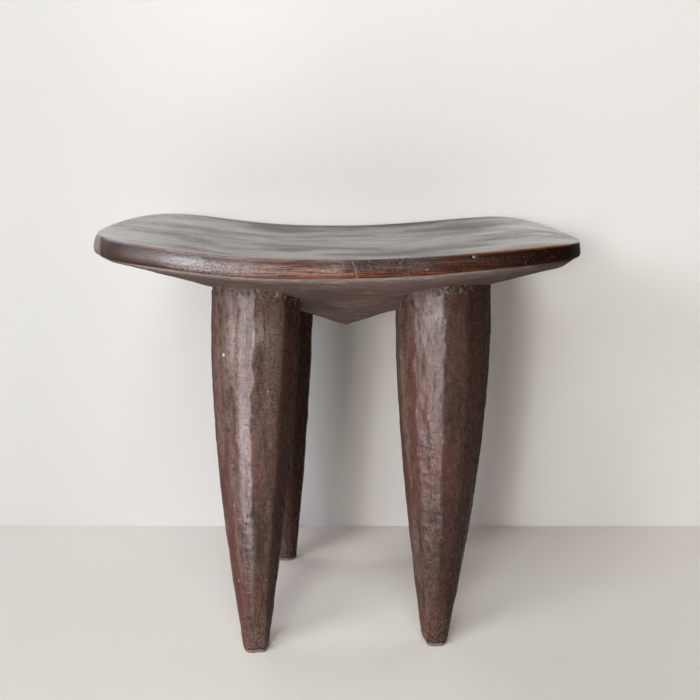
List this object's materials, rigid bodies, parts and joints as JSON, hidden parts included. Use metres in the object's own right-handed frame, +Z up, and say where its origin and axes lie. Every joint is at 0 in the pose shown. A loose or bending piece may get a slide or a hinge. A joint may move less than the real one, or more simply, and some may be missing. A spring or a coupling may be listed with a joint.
{
  "type": "carved stool",
  "caption": "Low carved hardwood stool: a dished rounded seat with a pointed belly beneath it, on thick legs that taper to small feet.",
  "frame": {"origin": "on the floor under the middle of the seat", "axes": "+X along the seat to the right as seen from the front, +Y from front to back, +Z up"},
  "size_m": [0.47, 0.355, 0.4105],
  "materials": {
    "seat_wood": "dark hardwood, polished by use to a high gloss on top and along the rim",
    "belly_wood": "dark hardwood, matt and left from the adze",
    "leg_wood": "dark hardwood, knife-faceted with a low waxy sheen"
  },
  "bodies": {
    "root": {"seat": "seat_wood", "belly": "belly_wood", "leg_front_left": "leg_wood", "leg_front_right": "leg_wood", "leg_back_left": "leg_wood", "leg_back_right": "leg_wood"}
  },
  "joints": []
}
